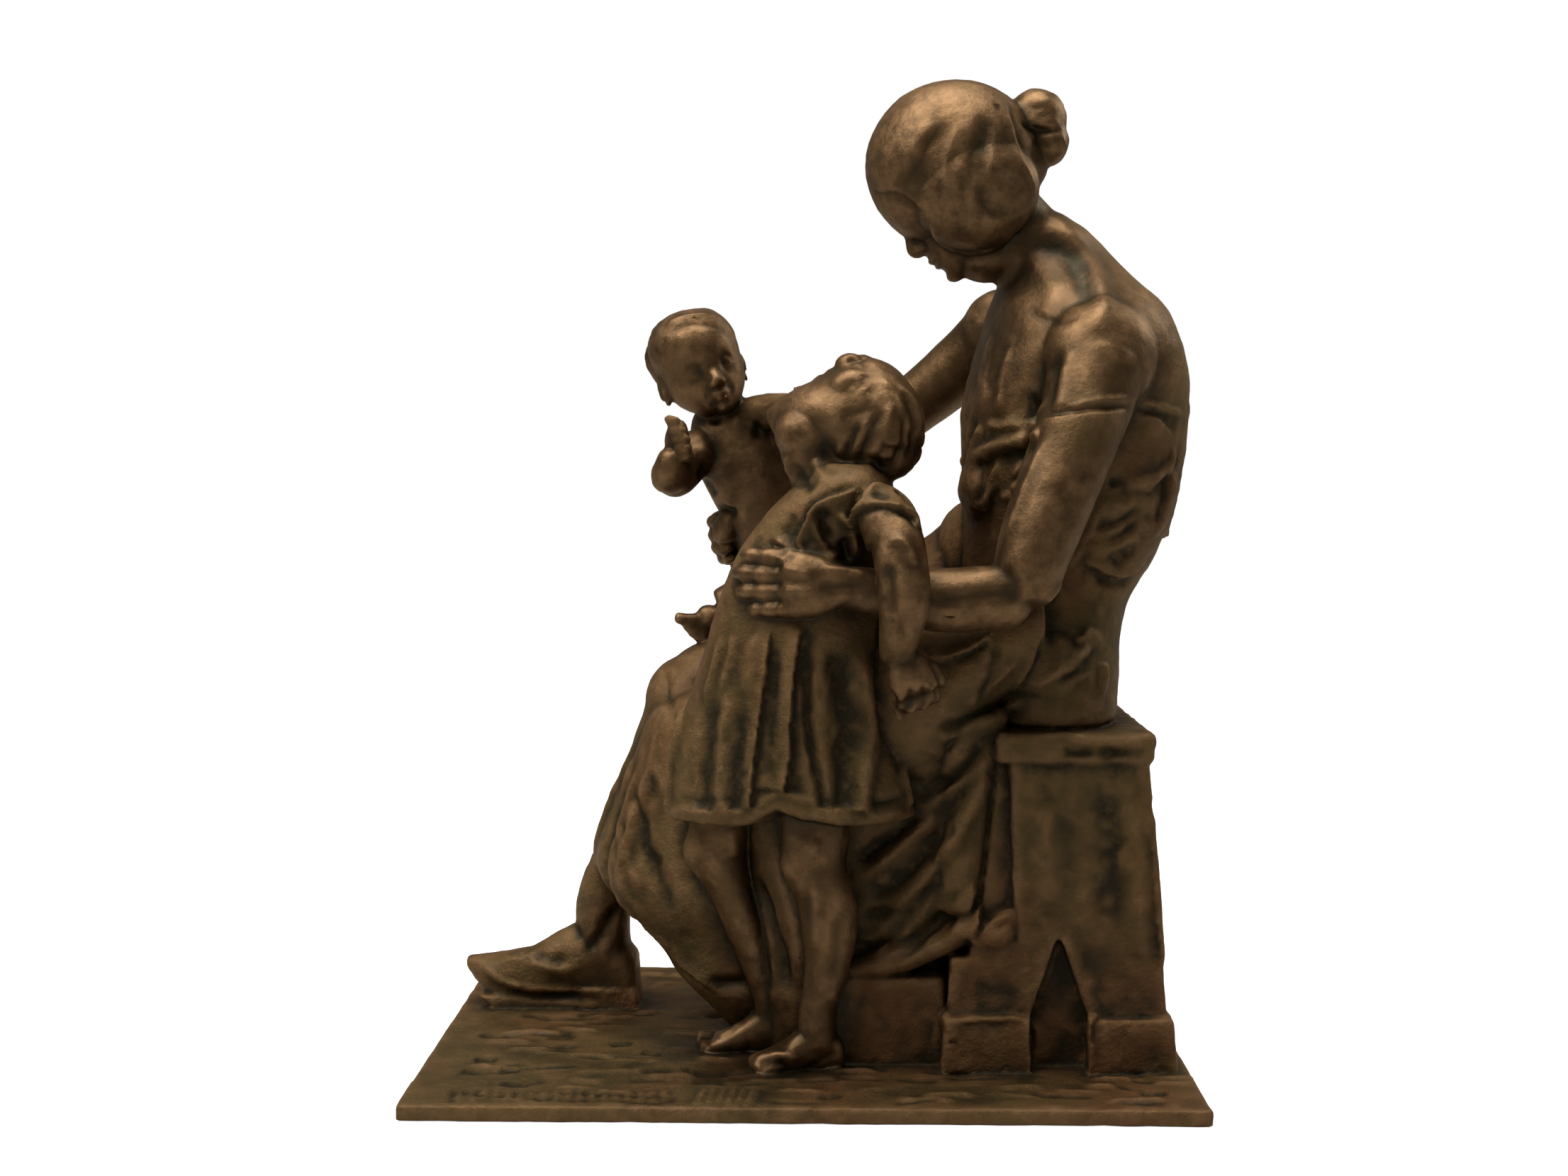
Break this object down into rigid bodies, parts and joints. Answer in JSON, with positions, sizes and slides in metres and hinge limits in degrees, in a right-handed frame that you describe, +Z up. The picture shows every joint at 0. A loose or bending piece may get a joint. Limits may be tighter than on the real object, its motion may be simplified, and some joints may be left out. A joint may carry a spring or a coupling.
{
  "type": "bronze mother and children group",
  "caption": "Seated woman on a block stool with a girl leaning back in her arm and a baby on her far knee, cast in bronze with its thin base plate.",
  "frame": {"origin": "centre of the base plate's underside", "axes": "+X along the base plate, towards the woman's back; +Y away from the side that the girl stands on; +Z up"},
  "size_m": [0.4921, 0.3145, 0.6386],
  "materials": {
    "bronze": "dark brown patina, green in the hollows, rubbed red-brown on the edges"
  },
  "bodies": {
    "root": {"mother_and_children_bronze": "bronze"}
  },
  "joints": []
}
